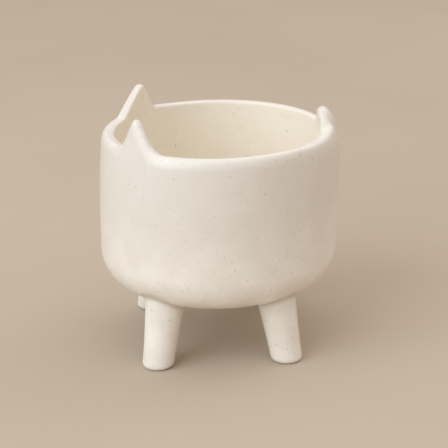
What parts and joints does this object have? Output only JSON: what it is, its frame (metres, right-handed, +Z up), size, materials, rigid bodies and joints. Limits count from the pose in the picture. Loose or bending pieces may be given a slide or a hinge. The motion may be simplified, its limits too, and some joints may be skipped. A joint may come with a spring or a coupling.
{
  "type": "footed plant pot",
  "caption": "Round glazed ceramic plant pot shaped like a cat, with pointed ears and a tail rising from the rim, standing on short splayed legs.",
  "frame": {"origin": "on the ground under the middle of the bowl, at the level of the feet", "axes": "+Z up along the bowl's axis; -Y towards the ears, +Y towards the tail; +X to the pot's own left"},
  "size_m": [0.151, 0.1544, 0.1588],
  "materials": {
    "glaze": "glossy cream glaze with fine specks, on fired stoneware"
  },
  "bodies": {
    "root": {"bowl": "glaze", "ear_left": "glaze", "ear_right": "glaze", "tail": "glaze", "leg_front_left": "glaze", "leg_front_right": "glaze", "leg_rear_left": "glaze", "leg_rear_right": "glaze"}
  },
  "joints": []
}
